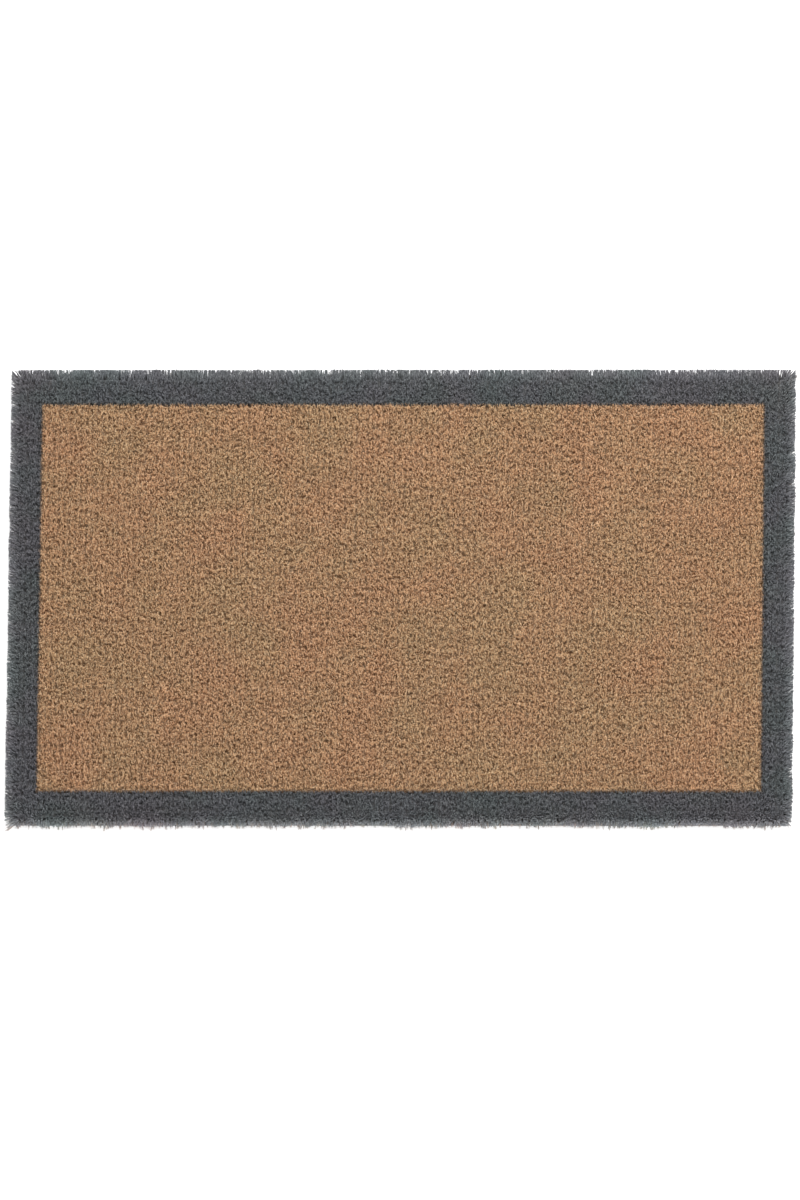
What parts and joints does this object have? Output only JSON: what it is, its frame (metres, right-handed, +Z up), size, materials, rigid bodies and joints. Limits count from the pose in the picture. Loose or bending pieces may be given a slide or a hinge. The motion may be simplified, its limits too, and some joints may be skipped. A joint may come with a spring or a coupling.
{
  "type": "door mat",
  "caption": "Rectangular door mat of upright coir tufts sheared flat, set in a thin vinyl backing, with an undyed field inside a slate-grey dyed border.",
  "frame": {"origin": "middle of the underside, on the floor", "axes": "+X to the right along the long side, +Y from the front edge to the rear edge, +Z up through the pile"},
  "size_m": [0.75, 0.45, 0.017],
  "materials": {
    "backing_vinyl": "matt flexible vinyl with a fine fabric imprint underneath",
    "natural_coir": "undyed coconut fibre, coarse cut pile",
    "dyed_coir": "coconut fibre dyed slate grey, coarse cut pile"
  },
  "bodies": {
    "root": {"backing_sheet": "backing_vinyl", "field_strip_01": "natural_coir", "field_strip_02": "natural_coir", "field_strip_03": "natural_coir", "field_strip_04": "natural_coir", "field_strip_05": "natural_coir", "field_strip_06": "natural_coir", "field_strip_07": "natural_coir", "field_strip_08": "natural_coir", "field_strip_09": "natural_coir", "field_strip_10": "natural_coir", "field_strip_11": "natural_coir", "field_strip_12": "natural_coir", "field_strip_13": "natural_coir", "field_strip_14": "natural_coir", "field_strip_15": "natural_coir", "field_strip_16": "natural_coir", "field_strip_17": "natural_coir", "field_strip_18": "natural_coir", "field_strip_19": "natural_coir", "field_strip_20": "natural_coir", "field_strip_21": "natural_coir", "field_strip_22": "natural_coir", "field_strip_23": "natural_coir", "field_strip_24": "natural_coir", "field_strip_25": "natural_coir", "field_strip_26": "natural_coir", "field_strip_27": "natural_coir", "field_strip_28": "natural_coir", "field_strip_29": "natural_coir", "field_strip_30": "natural_coir", "field_strip_31": "natural_coir", "field_strip_32": "natural_coir", "field_strip_33": "natural_coir", "field_strip_34": "natural_coir", "front_border_row_1": "dyed_coir", "front_border_row_2": "dyed_coir", "front_border_row_3": "dyed_coir", "front_border_row_4": "dyed_coir", "front_border_row_5": "dyed_coir", "left_border_rows": "dyed_coir", "rear_border_row_1": "dyed_coir", "rear_border_row_2": "dyed_coir", "rear_border_row_3": "dyed_coir", "rear_border_row_4": "dyed_coir", "rear_border_row_5": "dyed_coir", "right_border_rows": "dyed_coir"}
  },
  "joints": []
}
